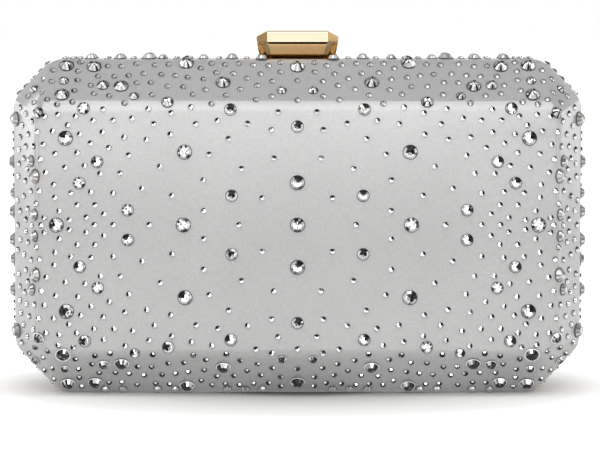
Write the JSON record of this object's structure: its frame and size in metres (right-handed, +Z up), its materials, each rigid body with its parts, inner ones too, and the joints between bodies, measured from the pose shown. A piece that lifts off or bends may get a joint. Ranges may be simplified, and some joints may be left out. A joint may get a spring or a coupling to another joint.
{
  "type": "minaudiere",
  "caption": "Hard-shell evening clutch in stone-set satin, elongated octagon, hinged along the bottom and held shut by a faceted push clasp.",
  "frame": {"origin": "middle of the face it rests on, under the seam between the two halves", "axes": "+Z up, X across the width, -Y towards the front half"},
  "size_m": [0.1818, 0.05, 0.1138],
  "materials": {
    "satin": "silver-grey satin",
    "tray_board": "moulded tray, hidden",
    "wadding": "white wadding, hidden",
    "lining": "grey satin on board",
    "frame_gilt": "polished pale gilt",
    "hinge_gilt": "satin pale gilt",
    "knob_gilt": "mirror-polished pale gilt",
    "steel": "bright spring steel",
    "stone": "clear foiled faceted glass"
  },
  "bodies": {
    "back": {"back_satin": "satin", "back_shell": "tray_board", "back_wadding": "wadding", "back_lining": "lining", "back_frame": "frame_gilt", "back_base_strip": "frame_gilt", "slip_pocket": "lining", "back_hinge_leaves": "hinge_gilt", "hinge_pins": "steel", "back_hinge_rivets": "hinge_gilt", "return_springs": "steel", "lock_plate": "frame_gilt", "lock_case": "frame_gilt", "lock_rivets": "hinge_gilt", "back_stones_20": "stone", "back_stones_16": "stone", "back_stones_12": "stone", "back_stones_6": "stone"},
    "front": {"front_satin": "satin", "front_shell": "tray_board", "front_wadding": "wadding", "front_lining": "lining", "front_frame": "frame_gilt", "front_base_strip": "frame_gilt", "front_hinge_leaves": "hinge_gilt", "front_hinge_rivets": "hinge_gilt", "catch_tongues": "steel", "tongue_rivets": "hinge_gilt", "front_stones_20": "stone", "front_stones_16": "stone", "front_stones_12": "stone", "front_stones_6": "stone"},
    "clasp": {"clasp_knob": "knob_gilt", "clasp_posts": "steel", "latch_plate": "steel", "post_clips": "steel"}
  },
  "joints": [
    {"name": "lid_hinge", "type": "hinge", "parent": "back", "child": "front", "pos_m": [0, 0, 0.0022], "axis": [1, 0, 0], "range_deg": [0, 88], "deforming": ["catch_tongues"]},
    {"name": "clasp_press", "type": "slide", "parent": "back", "child": "clasp", "axis": [0, 0, -1], "range_m": [0, 0.0015], "stiffness_N_per_m": 1000, "springref_m": -0.001, "deforming": ["return_springs"]}
  ]
}
